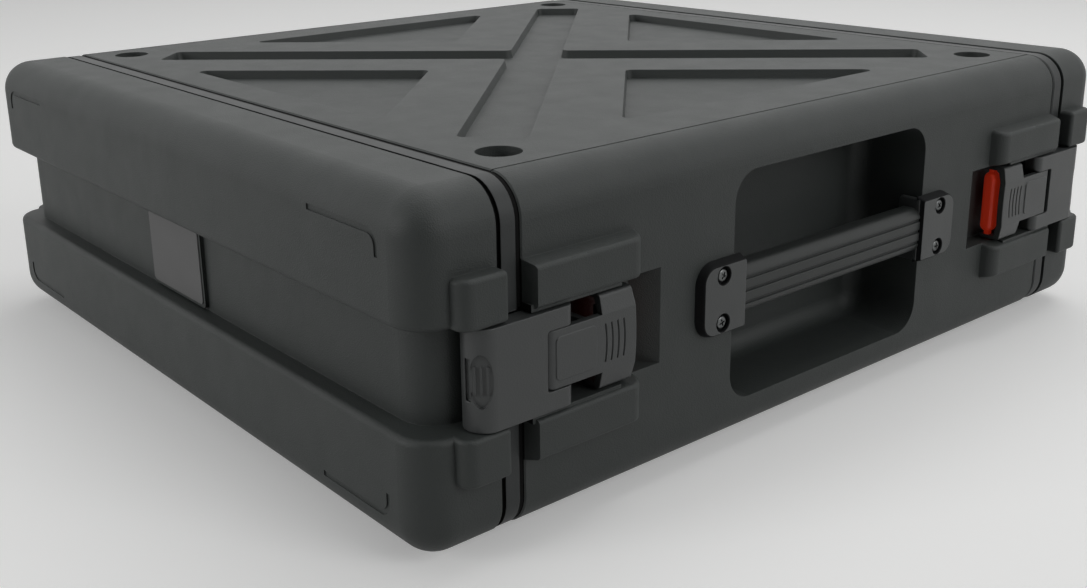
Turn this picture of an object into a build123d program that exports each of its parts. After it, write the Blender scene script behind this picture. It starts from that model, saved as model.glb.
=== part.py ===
from build123d import *
from math import cos, radians, sin, sqrt, tan
import os

# Rack case: a moulded sleeve open at both ends, closed by two lift-off covers.
# Frame: X across the width, -Y to the front cover, +Z up, origin under the middle of the feet.
# Lengths are millimetres and angles are degrees.

# Sleeve
case_width = 560.0
case_height = 189.5
sleeve_length = 495.0
edge_radius = 21.6
wall = 4.5
foot_stand = 6.0
step_groove_width = 1.4
step_groove_depth = 1.0

# Raised bands on the top and bottom, left by an X of channels and four triangles
relief_depth = 6.0
relief_draft = 12.0
channel_width = 40.0
channel_margin = 25.8
triangle_tip = 98.0
relief_corner = 5.0

# Stacking sockets and feet
socket_inset_x = 49.5
socket_inset_y = 27.0
socket_radius = 12.6
socket_depth = 7.0
foot_clearance = 1.0
foot_draft = 6.0
foot_boss_radius = 9.0
foot_boss_height = 8.0
foot_screw_radius = 2.0
foot_screw_length = 11.0
foot_head_radius = 4.0
foot_head_height = 2.4
foot_head_recess = 3.2
foot_head_clearance = 0.2

# Belt that carries the latches: a groove round the covers, a recess in the sleeve's sides
belt_rise = 0.75
belt_height = 55.0
belt_depth = 13.0
belt_edge = 4.0
pocket_length = 96.7
pocket_slope = 12.0
bumper_stand = 9.5
bumper_height = 26.0
bumper_length = 77.0
bumper_draft = 14.0
bumper_round = 2.5
bumper_end_round = 8.0
bumper_ledge = 4.0

# Handle and its recess
handle_rise = 0.25
recess_length = 184.2
recess_height = 139.0
recess_depth = 50.0
recess_corner = 18.0
recess_draft = 3.0
recess_floor_round = 12.0
grip_height = 29.5
grip_depth = 18.0
grip_front = 3.6
grip_round = 7.0
grip_groove = 2.2
grip_groove_depth = 1.4
grip_groove_pitch = 7.5
grip_gap = 0.1
core_radius = 3.2
core_margin = 1.0
cap_reach = 31.4
cap_height = 45.0
cap_stand = 5.5
cap_round = 6.5
cap_draft = 15.0
cap_edge = 1.2
cap_block_length = 4.6
cap_block_depth = 21.0
cap_block_height = 42.0
cap_block_round = 4.0
handle_screw_setback = 13.6
handle_screw_pitch = 28.0
handle_screw_radius = 2.0
handle_screw_length = 13.0
handle_head_radius = 4.3
handle_head_height = 2.4
handle_head_recess = 3.0
handle_counterbore = 5.3

# Covers
rim_width = 12.7
seam_gap = 2.4
cover_depth = 48.4
cover_round = 21.0
rim_inset = 0.5
rim_edge = 0.8
tongue_clearance = 0.4
tongue_thickness = 3.0
tongue_reach = 8.5
spigot_reach = 7.0
gasket_inset = 1.2
gasket_width = 2.2
gasket_seat = 1.4
gasket_clearance = 0.2
joint_groove_width = 0.9
joint_groove_depth = 2.5
lug_length = 28.4
lug_round = 8.0
groove_long = 62.0
groove_short = 5.0
groove_bend = 7.4
groove_width = 3.2
groove_depth = 0.8
groove_inset_x = 30.0
groove_inset_z = 20.7
badge_width = 70.0
badge_height = 48.0
badge_corner = 3.0
badge_thickness = 1.5
badge_pad_rise = 2.5
badge_pad_margin = 2.0
badge_seat = 0.8
badge_edge = 0.3

# Rack rails for three 44.45 mm units
rack_unit = 44.45
rack_units = 3
rack_hole_span = 465.1
rack_hole_radius = 2.2
rack_hole_steps = (6.35, 22.225, 38.1)
rail_thickness = 3.0
rail_inner_x = 225.5
rail_flange = 30.5
rail_leg = 38.0
rail_setback = 20.0
rail_bend = 2.0
pad_height = 26.0
pad_offset_z = 50.0
pad_length = 34.0
pad_corner = 3.0
rail_screw_radius = 2.5
rail_screw_length = 13.0
rail_head_radius = 4.6
rail_head_height = 2.6

# Latches
latch_clearance = 0.75
arm_pin_inset = 1.5
arm_pin_setback = 8.4
arm_pin_radius = 2.5
arm_pin_bite = 9.0
arm_barrel = 11.0
arm_thickness = 10.5
arm_skin = 3.5
arm_overlap = 12.4
arm_end_round = 5.0
arm_pocket_margin = 6.0
arm_pocket_corner = 2.0
notch_gap = 0.3
notch_round = 1.8
prong_round = 2.5
dish_height = 28.0
dish_width = 11.6
dish_depth = 1.8
dish_rib = 1.2
dish_rib_pitch = 3.2
dish_rib_height = 15.0
dish_rib_rise = 0.9
dish_angle = 45.0
slot_angle = 84.0
slot_height = 22.0
slot_width = 3.6
slot_depth = 1.6
stem_height = 31.4
stem_clearance = 0.6
stem_thickness = 4.0
stem_round = 3.5
trigger_pin_reach = 37.2
trigger_pin_stand = 3.9
trigger_pin_radius = 1.6
trigger_knuckle = 5.3
pin_clearance = 0.05
stem_length = 31.5
head_length = 24.3
head_bow = 2.0
head_slope = 2.4
head_corner = 2.5
head_flange = 2.6
head_flange_depth = 17.0
panel_rise = 0.5
panel_margin = 4.0
panel_corner = 3.0
finger_groove_width = 1.2
finger_groove_depth = 0.7
finger_groove_pitch = 4.3
finger_groove_height = 21.0
finger_groove_start = 3.0
finger_groove_count = 4
keeper_inset = 10.6
keeper_reach = 21.8
keeper_radius = 2.0
keeper_bite = 3.4
hook_gap = 0.4
hook_thickness = 4.0
hook_width = 26.0
hook_overlap = 1.4
release_height = 43.0
release_depth = 9.6
release_width = 9.6
release_round = 3.2
release_setback = 0.4
release_inset = 8.2
release_travel = 4.0
release_clearance = 0.3
tab_width = 3.4
tab_length = 4.0
tab_margin = 0.5
rib_thickness = 2.2
rib_depth = 11.0
rib_gap = 4.6
pin_edge = 0.3
screw_edge = 0.4
spring_radius = 2.1
spring_wall = 0.8
spring_overlap = 3.2
spring_bore_clearance = 0.4

# Values worked out from the ones above
half_width = case_width / 2
half_length = sleeve_length / 2
base_z = foot_stand
top_z = base_z + case_height
mid_z = (base_z + top_z) / 2
step_groove_x = half_width - edge_radius
socket_x = half_width - socket_inset_x
socket_y = half_length - socket_inset_y
relief_reach = min(socket_x, socket_y)
channel_reach = sqrt(2) * relief_reach - channel_margin
belt_z = mid_z + belt_rise
handle_z = mid_z + handle_rise
cover_joint_y = half_length + seam_gap + rim_width
cover_face_y = cover_joint_y + cover_depth
belt_low = belt_z - belt_height / 2
belt_x = half_width - belt_depth
belt_y = cover_face_y - belt_depth
latch_face_x = half_width + bumper_stand
pocket_end_y = half_length - pocket_length
handle_screw_y = recess_length / 2 + handle_screw_setback
rail_outer_x = rail_inner_x + rail_flange
rail_front_y = half_length - rail_setback
foot_radius = socket_radius - foot_clearance
pilot_radius = handle_screw_radius + pin_clearance
arm_pin_x = half_width - arm_pin_inset
arm_pin_y = cover_joint_y + arm_pin_setback
trigger_pin_x = half_width + trigger_pin_stand
trigger_pin_y = arm_pin_y - trigger_pin_reach
arm_end_y = trigger_pin_y - arm_overlap
notch_end_y = trigger_pin_y + trigger_knuckle + notch_gap
head_start_y = trigger_pin_y - stem_length
head_end_y = head_start_y - head_length
head_height = belt_height - 2 * latch_clearance - 2 * stem_clearance
keeper_x = half_width - keeper_inset
keeper_y = trigger_pin_y - keeper_reach
release_end_y = head_end_y + release_setback
release_x = half_width - release_inset + release_depth / 2
rib_y = release_end_y + release_width + rib_gap
over = 2.0

os.makedirs("parts", exist_ok=True)


def mirrored(part, side, end):
    """The piece made for the front right corner, carried to another corner."""
    if side == "left":
        part = part.mirror(Plane.YZ)
    if end == "rear":
        part = part.mirror(Plane.XZ)
    return part


def save(part, name):
    """Label a finished piece and write it."""
    part.label = name
    export_step(part, f"parts/{name}.step")


def section(inset, notched=True):
    """Cross-section of the case, moved inward by inset, with the two belt notches."""
    with BuildSketch() as outline:
        with Locations((0, mid_z)):
            RectangleRounded(case_width - 2 * inset, case_height - 2 * inset, edge_radius - inset)
        if notched:
            with Locations((half_width + belt_depth, belt_z), (-half_width - belt_depth, belt_z)):
                Rectangle(2 * (2 * belt_depth + inset), belt_height + 2 * inset, mode=Mode.SUBTRACT)
    return outline.sketch


def ring(outer, inner):
    """Closed ring between two insets of the case's cross-section."""
    with BuildSketch() as band:
        add(section(outer))
        add(section(inner), mode=Mode.SUBTRACT)
    return band.sketch


def relief(grow):
    """X of two channels and four triangles, all grown outward by grow."""
    with BuildSketch() as pattern:
        for angle in (45, -45):
            Rectangle(2 * channel_reach, channel_width, rotation=angle)
        with PolarLocations(0, 4):
            half_base = relief_reach - triangle_tip
            Polygon((triangle_tip, 0), (relief_reach, half_base), (relief_reach, -half_base))
        if grow:
            offset(amount=grow, kind=Kind.INTERSECTION, mode=Mode.REPLACE)
        fillet(pattern.vertices(), radius=relief_corner)
    return pattern.sketch


def top_relief():
    """Space of the channels and triangles in the top, narrower towards the floor."""
    with BuildPart() as sunken:
        with BuildSketch(Plane(origin=(0, 0, top_z), x_dir=(1, 0, 0), z_dir=(0, 0, -1))):
            add(relief(0))
        extrude(amount=relief_depth, taper=relief_draft)
    return sunken.part


def latch_recess(grow):
    """Plan of the right front latch recess, which runs out through the sleeve's rim."""
    reach = half_width + 2 * bumper_stand
    with BuildSketch() as plan:
        with BuildLine():
            Polyline(
                (reach, -half_length - over),
                (belt_x - grow, -half_length - over),
                (belt_x - grow, -pocket_end_y - pocket_slope + grow),
                (half_width, -pocket_end_y + grow),
                (reach, -pocket_end_y + grow),
                close=True,
            )
        make_face()
    return plan.sketch


def sleeve_hollow():
    """Space inside the sleeve, left by the walls behind every recess, socket and pad."""
    with BuildPart() as hollow:
        with BuildSketch(Plane.XZ):
            add(section(wall, notched=False))
        extrude(amount=half_length + over, both=True)
        # Walls behind the relief of the top and the bottom
        for height, direction in ((top_z - relief_depth - wall, 1), (base_z + relief_depth + wall, -1)):
            with BuildSketch(Plane.XY.offset(height)):
                add(relief(wall))
            extrude(amount=direction * relief_depth, mode=Mode.SUBTRACT)
        # Cups behind the sockets and bosses over the feet
        with BuildSketch(Plane.XY.offset(top_z - wall)):
            with GridLocations(2 * socket_x, 2 * socket_y, 2, 2):
                Circle(socket_radius + wall)
        extrude(amount=-socket_depth, mode=Mode.SUBTRACT)
        with BuildSketch(Plane.XY.offset(base_z + wall)):
            with GridLocations(2 * socket_x, 2 * socket_y, 2, 2):
                Circle(foot_boss_radius)
        extrude(amount=foot_boss_height, mode=Mode.SUBTRACT)
        for side in (1, -1):
            # Wall behind the handle recess
            with BuildSketch(Plane.YZ.offset(side * (half_width - recess_depth - wall))):
                with Locations((0, handle_z)):
                    RectangleRounded(recess_length + 2 * wall, recess_height + 2 * wall, recess_corner + wall)
            extrude(amount=side * (recess_depth + wall), mode=Mode.SUBTRACT)
            for end in (1, -1):
                # Pads that the rails are screwed to
                pad_y = end * (rail_front_y - rail_leg / 2)
                with BuildSketch(Plane.YZ.offset(side * rail_outer_x)):
                    with Locations((pad_y, mid_z - pad_offset_z), (pad_y, mid_z + pad_offset_z)):
                        RectangleRounded(pad_length, pad_height, pad_corner)
                extrude(amount=side * (half_width - rail_outer_x), mode=Mode.SUBTRACT)
        # Walls behind the latch recesses
        with BuildSketch(Plane.XY.offset(belt_low - wall)) as behind:
            add(latch_recess(wall))
            mirror(about=Plane.XZ)
            mirror(about=Plane.YZ)
        extrude(amount=belt_height + 2 * wall, mode=Mode.SUBTRACT)
    return hollow.part


def body_bumpers():
    """Right front pair of bumpers that stand above and below the latch."""
    with BuildPart() as pair:
        for sign in (1, -1):
            middle = belt_z + sign * (belt_height + bumper_height) / 2
            with BuildSketch(Plane.YZ.offset(half_width)):
                with Locations((-half_length + bumper_length / 2, middle)):
                    Rectangle(bumper_length, bumper_height)
            extrude(amount=bumper_stand, taper=bumper_draft)
        face_edges = pair.faces().filter_by(Axis.X).group_by(Axis.X)[-1].edges()
        end_edges = face_edges.filter_by(Axis.Z).group_by(Axis.Y)[-1]
        fillet(end_edges, radius=bumper_end_round)
        rest = pair.faces().filter_by(Axis.X).group_by(Axis.X)[-1].edges()
        fillet(rest.filter_by(Axis.Y), radius=bumper_round)
        with BuildSketch(Plane.YZ.offset(half_width - wall / 2)):
            for sign in (1, -1):
                middle = belt_z + sign * (belt_height + bumper_height) / 2
                with Locations((-half_length + bumper_length / 2, middle)):
                    Rectangle(bumper_length, bumper_height)
        extrude(amount=wall / 2)
        # The side towards the latch stays upright down to the recess
        with BuildSketch(Plane.YZ.offset(half_width - wall / 2)):
            for sign in (1, -1):
                middle = belt_z + sign * (belt_height + bumper_ledge) / 2
                with Locations((-half_length + (bumper_length - 2 * bumper_end_round) / 2, middle)):
                    Rectangle(bumper_length - 2 * bumper_end_round, bumper_ledge)
        extrude(amount=bumper_stand - bumper_round + wall / 2)
    return pair.part


def handle_recess():
    """Space of the right handle recess: drafted walls and a rounded floor."""
    with BuildPart() as recess:
        inward = Plane(origin=(half_width, 0, handle_z), x_dir=(0, 1, 0), z_dir=(-1, 0, 0))
        with BuildSketch(inward):
            RectangleRounded(recess_length, recess_height, recess_corner)
        extrude(amount=recess_depth, taper=recess_draft)
        fillet(recess.faces().sort_by(Axis.X)[0].edges(), radius=recess_floor_round)
    return recess.part


def make_sleeve():
    """The sleeve: outer skin, bumpers, hollow, relief, recesses, sockets and holes."""
    bumpers = body_bumpers()
    recess = handle_recess()
    sunken = top_relief()
    with BuildPart() as sleeve:
        with BuildSketch(Plane.XZ):
            add(section(0, notched=False))
        extrude(amount=half_length, both=True)
        add(sunken, mode=Mode.SUBTRACT)
        add(sunken.mirror(Plane.XY.offset(mid_z)), mode=Mode.SUBTRACT)
        rim_edges = sleeve.faces().filter_by(Axis.Y).edges()
        chamfer(rim_edges, length=rim_edge)
        for side in ("right", "left"):
            for end in ("front", "rear"):
                add(mirrored(bumpers, side, end))
        add(sleeve_hollow(), mode=Mode.SUBTRACT)
        # Fine groove along each long edge of the top
        with BuildSketch(Plane.XY.offset(top_z - step_groove_depth)):
            with Locations((step_groove_x, 0), (-step_groove_x, 0)):
                Rectangle(step_groove_width, sleeve_length + over)
        extrude(amount=step_groove_depth + over, mode=Mode.SUBTRACT)
        # Stacking sockets
        with Locations(Plane.XY.offset(top_z)):
            with GridLocations(2 * socket_x, 2 * socket_y, 2, 2):
                Hole(radius=socket_radius, depth=socket_depth)
        # Latch recesses, with a hole at each end of every keeper
        with BuildSketch(Plane.XY.offset(belt_low)):
            add(latch_recess(0))
            mirror(about=Plane.XZ)
            mirror(about=Plane.YZ)
        extrude(amount=belt_height, mode=Mode.SUBTRACT)
        keeper_length = belt_height + 2 * keeper_bite
        with BuildSketch(Plane.XY.offset(belt_z - keeper_length / 2)):
            with GridLocations(2 * keeper_x, 2 * keeper_y, 2, 2):
                Circle(keeper_radius + pin_clearance)
        extrude(amount=keeper_length, mode=Mode.SUBTRACT)
        for side in ("right", "left"):
            add(mirrored(recess, side, "front"), mode=Mode.SUBTRACT)
        for side in (1, -1):
            # Pilot holes of the handle caps
            with BuildSketch(Plane.YZ.offset(side * half_width)):
                with Locations((0, handle_z)):
                    with GridLocations(2 * handle_screw_y, handle_screw_pitch, 2, 2):
                        Circle(pilot_radius)
            extrude(amount=-side * (wall + over), mode=Mode.SUBTRACT)
            # Holes of the rail screws, blind in the pads
            with BuildSketch(Plane.YZ.offset(side * rail_outer_x)):
                for end in (1, -1):
                    pad_y = end * (rail_front_y - rail_leg / 2)
                    with Locations((pad_y, mid_z - pad_offset_z), (pad_y, mid_z + pad_offset_z)):
                        Circle(rail_screw_radius + pin_clearance)
            extrude(amount=side * (rail_screw_length - rail_thickness), mode=Mode.SUBTRACT)
        # Holes of the foot screws
        with BuildSketch(Plane.XY.offset(base_z)):
            with GridLocations(2 * socket_x, 2 * socket_y, 2, 2):
                Circle(foot_screw_radius + pin_clearance)
        extrude(amount=foot_screw_length, mode=Mode.SUBTRACT)
    save(sleeve.part, "sleeve")


def screw(plane, spots, radius, length, head_radius, head_height):
    """Pan-head screws whose heads stand on the plane and whose shanks run below it."""
    with BuildPart() as screws:
        for spot in spots:
            with BuildSketch(plane):
                with Locations(spot):
                    Circle(head_radius)
            extrude(amount=head_height)
            with BuildSketch(plane):
                with Locations(spot):
                    Circle(radius)
            extrude(amount=-length)
        crowns = screws.faces().filter_by(Axis(plane.origin, plane.z_dir)).filter_by(GeomType.PLANE)
        tops = [face for face in crowns if plane.to_local_coords(face.center()).Z > head_height / 2]
        chamfer([edge for face in tops for edge in face.edges()], length=screw_edge)
    return screws.part


def make_feet():
    """Four rubber feet and their screws, one foot under each stacking socket."""
    with BuildPart() as feet:
        with BuildSketch(Plane.XY.offset(base_z)):
            with GridLocations(2 * socket_x, 2 * socket_y, 2, 2):
                Circle(foot_radius)
        extrude(amount=-foot_stand, taper=foot_draft)
        with BuildSketch():
            with GridLocations(2 * socket_x, 2 * socket_y, 2, 2):
                Circle(foot_head_radius + foot_head_clearance)
        extrude(amount=foot_head_recess, mode=Mode.SUBTRACT)
        with BuildSketch():
            with GridLocations(2 * socket_x, 2 * socket_y, 2, 2):
                Circle(foot_screw_radius + pin_clearance)
        extrude(amount=foot_stand, mode=Mode.SUBTRACT)
    save(feet.part, "feet")
    spots = [(x, y) for x in (socket_x, -socket_x) for y in (socket_y, -socket_y)]
    under = Plane(origin=(0, 0, foot_head_recess), x_dir=(1, 0, 0), z_dir=(0, 0, -1))
    screws = screw(under, spots, foot_screw_radius, foot_screw_length, foot_head_radius, foot_head_height)
    save(screws, "foot_screws")


def make_rails():
    """Four steel angle rails with tapped holes, and the screws that hold them."""
    length = rack_unit * rack_units
    low = mid_z - length / 2
    spots = [(-rail_front_y + rail_leg / 2, mid_z + sign * pad_offset_z) for sign in (1, -1)]
    with BuildPart() as rail:
        with BuildSketch(Plane.XY.offset(low)):
            with BuildLine():
                Polyline(
                    (rail_inner_x, -rail_front_y),
                    (rail_outer_x, -rail_front_y),
                    (rail_outer_x, -rail_front_y + rail_leg),
                    (rail_outer_x - rail_thickness, -rail_front_y + rail_leg),
                    (rail_outer_x - rail_thickness, -rail_front_y + rail_thickness),
                    (rail_inner_x, -rail_front_y + rail_thickness),
                    close=True,
                )
            make_face()
        extrude(amount=length)
        bend = rail.edges().filter_by(Axis.Z).group_by(SortBy.DISTANCE)[-1]
        fillet(bend, radius=rail_bend)
        holes = [
            (rack_hole_span / 2, low + unit * rack_unit + step)
            for unit in range(rack_units)
            for step in rack_hole_steps
        ]
        with BuildSketch(Plane.XZ.offset(rail_front_y)):
            with Locations(holes):
                Circle(rack_hole_radius)
        extrude(amount=-rail_thickness, mode=Mode.SUBTRACT)
        with BuildSketch(Plane.YZ.offset(rail_outer_x)):
            with Locations(spots):
                Circle(rail_screw_radius + pin_clearance)
        extrude(amount=-rail_thickness, mode=Mode.SUBTRACT)
    inner_face = Plane(
        origin=(rail_outer_x - rail_thickness, 0, 0), x_dir=(0, -1, 0), z_dir=(-1, 0, 0)
    )
    facing = [(-y, z) for y, z in spots]
    screws = screw(
        inner_face, facing, rail_screw_radius, rail_screw_length, rail_head_radius, rail_head_height
    )
    with BuildPart() as all_screws:
        for side in ("right", "left"):
            for end in ("front", "rear"):
                save(mirrored(rail.part, side, end), f"rail_{end}_{side}")
                add(mirrored(screws, side, end))
    save(all_screws.part, "rail_screws")


def make_handles():
    """Two fixed bar handles: steel core, moulded grip, an end cap at each end, screws."""
    grip_back = half_width + grip_front - grip_depth
    block_end = recess_length / 2 - cap_block_depth * tan(radians(recess_draft)) - pin_clearance
    block_y = block_end - cap_block_length
    block_x = half_width - cap_block_depth
    core_x = grip_back + grip_depth / 2
    core_reach = block_end - core_margin
    with BuildPart() as grip:
        with BuildSketch(Plane.XZ.offset(-block_y + grip_gap)):
            with Locations((grip_back + grip_depth / 2, handle_z)):
                RectangleRounded(grip_depth, grip_height, grip_round)
            with Locations((core_x, handle_z)):
                Circle(core_radius + pin_clearance, mode=Mode.SUBTRACT)
            for step in (-1, 0, 1):
                with Locations((half_width + grip_front, handle_z + step * grip_groove_pitch)):
                    Rectangle(2 * grip_groove_depth, grip_groove, mode=Mode.SUBTRACT)
        extrude(amount=2 * (block_y - grip_gap))
    with BuildPart() as core:
        with BuildSketch(Plane.XZ.offset(-core_reach)):
            with Locations((core_x, handle_z)):
                Circle(core_radius)
        extrude(amount=2 * core_reach)
    with BuildPart() as cap:
        cap_end = recess_length / 2 + cap_reach
        with BuildSketch(Plane.YZ.offset(half_width)) as plate:
            with Locations((-(cap_end + block_y) / 2, handle_z)):
                Rectangle(cap_end - block_y, cap_height)
            fillet(plate.vertices().group_by(Axis.X)[0], radius=cap_round)
        extrude(amount=cap_stand, taper=cap_draft)
        chamfer(cap.faces().sort_by(Axis.X)[-1].edges(), length=cap_edge)
        # Block that drops into the recess and holds the bar's end
        with BuildSketch(Plane.YZ.offset(block_x)):
            with Locations((-block_y - cap_block_length / 2, handle_z)):
                Rectangle(cap_block_length, cap_block_height)
        extrude(amount=cap_block_depth)
        block_corners = cap.edges().filter_by(Axis.Y).group_by(Axis.X)[0]
        fillet(block_corners, radius=cap_block_round)
        with BuildSketch(Plane.XZ.offset(core_reach)):
            with Locations((core_x, handle_z)):
                Circle(core_radius + pin_clearance)
        extrude(amount=-cap_block_length, mode=Mode.SUBTRACT)
        with Locations(Plane.YZ.offset(half_width + cap_stand)):
            with Locations(
                (-handle_screw_y, handle_z + handle_screw_pitch / 2),
                (-handle_screw_y, handle_z - handle_screw_pitch / 2),
            ):
                CounterBoreHole(
                    radius=pilot_radius,
                    counter_bore_radius=handle_counterbore,
                    counter_bore_depth=handle_head_recess,
                    depth=cap_stand + over,
                )
    spots = [
        (sign * handle_screw_y, handle_z + step * handle_screw_pitch / 2)
        for sign in (1, -1)
        for step in (1, -1)
    ]
    head_plane = Plane.YZ.offset(half_width + cap_stand - handle_head_recess)
    screws = screw(
        head_plane, spots, handle_screw_radius, handle_screw_length, handle_head_radius, handle_head_height
    )
    with BuildPart() as all_screws:
        for side in ("right", "left"):
            save(mirrored(grip.part, side, "front"), f"handle_grip_{side}")
            save(mirrored(core.part, side, "front"), f"handle_core_{side}")
            for end in ("front", "rear"):
                save(mirrored(cap.part, side, end), f"handle_cap_{end}_{side}")
            add(mirrored(screws, side, "front"))
    save(all_screws.part, "handle_screws")


def cover_hollow():
    """Space inside the front cover, with the wall behind its belt left standing."""
    with BuildPart() as hollow:
        with BuildSketch(Plane.XZ.offset(cover_joint_y - over)):
            add(section(wall, notched=False))
        extrude(amount=cover_depth - wall + over)
        fillet(hollow.faces().sort_by(Axis.Y)[0].edges(), radius=cover_round - wall)
        with BuildSketch(Plane.XY.offset(belt_low - wall)):
            Rectangle(2 * case_width, 2 * (cover_face_y + over))
            RectangleRounded(2 * (belt_x - wall), 2 * (belt_y - wall), cover_round - wall, mode=Mode.SUBTRACT)
        extrude(amount=belt_height + 2 * wall, mode=Mode.SUBTRACT)
    return hollow.part


def cover_lugs():
    """Right pair of lugs on the front cover, which hold the latch arm's pin between them."""
    with BuildPart() as lugs:
        for sign in (1, -1):
            low = belt_z + sign * (belt_height + bumper_height) / 2 - bumper_height / 2
            with BuildSketch(Plane.XY.offset(low)):
                with Locations(((belt_x + latch_face_x) / 2, -cover_joint_y - lug_length / 2)):
                    Rectangle(latch_face_x - belt_x, lug_length)
            extrude(amount=bumper_height)
        front_edges = lugs.edges().filter_by(Axis.Z).group_by(Axis.X)[-1].group_by(Axis.Y)
        fillet(front_edges[0], radius=lug_round)
        fillet(front_edges[-1], radius=bumper_round)
        far_faces = lugs.faces().filter_by(Axis.Z)
        outer = [edge for face in far_faces for edge in face.edges() if edge.center().X > half_width + 1]
        fillet(outer, radius=bumper_round)
    return lugs.part


def cover_grooves():
    """Fine L-shaped grooves near the four corners of the cover's face."""
    edge_x = half_width - groove_inset_x
    with BuildSketch() as grooves:
        with BuildLine() as path:
            for edge_z, inward in ((top_z - groove_inset_z, -1), (base_z + groove_inset_z, 1)):
                FilletPolyline(
                    (edge_x - groove_long, edge_z),
                    (edge_x, edge_z),
                    (edge_x, edge_z + inward * (groove_bend + groove_short)),
                    radius=groove_bend,
                )
        trace(path.line, line_width=groove_width)
        mirror(about=Plane.YZ)
    return grooves.sketch


def make_covers():
    """Two lift-off covers: moulded shell, rim frame, gasket and the front's bare badge."""
    lugs = cover_lugs()
    pin_length = belt_height + 2 * arm_pin_bite
    with BuildPart() as shell:
        with BuildSketch(Plane.XZ.offset(cover_joint_y)):
            add(section(0, notched=False))
        extrude(amount=cover_depth)
        fillet(shell.faces().sort_by(Axis.Y)[0].edges(), radius=cover_round)
        # Belt groove round the face and both sides
        with BuildSketch(Plane.XY.offset(belt_low)):
            Rectangle(2 * case_width, 2 * (cover_face_y + over))
            RectangleRounded(2 * belt_x, 2 * belt_y, cover_round, mode=Mode.SUBTRACT)
        extrude(amount=belt_height, mode=Mode.SUBTRACT)
        belt_edges = [
            edge
            for edge in shell.edges()
            if abs(abs(edge.center().Z - belt_z) - belt_height / 2) < 0.01
            and edge.bounding_box().size.Z < 0.01
            and (edge.center().Y < -belt_y - 1 or abs(edge.center().X) > belt_x + 1)
            and edge.center().Y < -cover_joint_y - 1
        ]
        fillet(belt_edges, radius=belt_edge)
        add(cover_hollow(), mode=Mode.SUBTRACT)
        for side in ("right", "left"):
            add(mirrored(lugs, side, "front"))
        with BuildSketch(Plane.XZ.offset(cover_face_y)):
            add(cover_grooves())
        extrude(amount=-groove_depth, mode=Mode.SUBTRACT)
        # Blind holes of the latch arm pins
        with BuildSketch(Plane.XY.offset(belt_z - pin_length / 2)):
            with Locations((arm_pin_x, -arm_pin_y), (-arm_pin_x, -arm_pin_y)):
                Circle(arm_pin_radius + pin_clearance)
        extrude(amount=pin_length, mode=Mode.SUBTRACT)
    with BuildPart() as front_shell:
        add(shell.part)
        # Raised pad in the middle of the belt, with a shallow seat for the badge
        with BuildSketch(Plane.XZ.offset(belt_y - wall / 2)):
            with Locations((0, belt_z)):
                RectangleRounded(
                    badge_width + 2 * badge_pad_margin, badge_height + 2 * badge_pad_margin, badge_corner
                )
        extrude(amount=badge_pad_rise + wall / 2)
        with BuildSketch(Plane.XZ.offset(belt_y + badge_pad_rise)):
            with Locations((0, belt_z)):
                RectangleRounded(badge_width, badge_height, badge_corner)
        extrude(amount=-badge_seat, mode=Mode.SUBTRACT)
    with BuildPart() as badge:
        with BuildSketch(Plane.XZ.offset(belt_y + badge_pad_rise - badge_seat)):
            with Locations((0, belt_z)):
                RectangleRounded(
                    badge_width - 2 * pin_clearance, badge_height - 2 * pin_clearance, badge_corner
                )
        extrude(amount=badge_thickness)
        chamfer(badge.faces().sort_by(Axis.Y)[0].edges(), length=badge_edge)
    tongue_outer = wall + tongue_clearance
    tongue_inner = tongue_outer + tongue_thickness
    rim_back = cover_joint_y - rim_width
    with BuildPart() as rim:
        with BuildSketch(Plane.XZ.offset(cover_joint_y)):
            add(ring(rim_inset, tongue_inner))
        extrude(amount=-rim_width)
        chamfer(rim.faces().sort_by(Axis.Y)[-1].outer_wire().edges(), length=rim_edge)
        # Groove that shows as a dark line between the rim and the shell
        with BuildSketch(Plane.XZ.offset(cover_joint_y)):
            add(ring(-over, joint_groove_depth))
        extrude(amount=-joint_groove_width, mode=Mode.SUBTRACT)
        # Tongue that enters the sleeve
        with BuildSketch(Plane.XZ.offset(rim_back)):
            add(ring(tongue_outer, tongue_inner))
        extrude(amount=-(seam_gap + tongue_reach))
        # Spigot that enters the cover, left out beside the lugs
        with BuildSketch(Plane.XZ.offset(cover_joint_y)):
            add(ring(wall, tongue_inner))
            lug_zone = belt_height + 2 * bumper_height + 2 * tongue_clearance
            with Locations((half_width, belt_z), (-half_width, belt_z)):
                Rectangle(4 * belt_depth, lug_zone, mode=Mode.SUBTRACT)
        extrude(amount=spigot_reach)
        with BuildSketch(Plane.XZ.offset(rim_back)):
            add(ring(gasket_inset, gasket_inset + gasket_width))
        extrude(amount=gasket_seat, mode=Mode.SUBTRACT)
    with BuildPart() as gasket:
        with BuildSketch(Plane.XZ.offset(rim_back + gasket_seat)):
            add(ring(gasket_inset, gasket_inset + gasket_width))
        extrude(amount=-(gasket_seat + seam_gap - gasket_clearance))
    save(front_shell.part, "front_cover_shell")
    save(badge.part, "front_badge")
    save(mirrored(shell.part, "right", "rear"), "rear_cover_shell")
    for end in ("front", "rear"):
        save(mirrored(rim.part, "right", end), f"{end}_cover_rim")
        save(mirrored(gasket.part, "right", end), f"{end}_cover_gasket")


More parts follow.
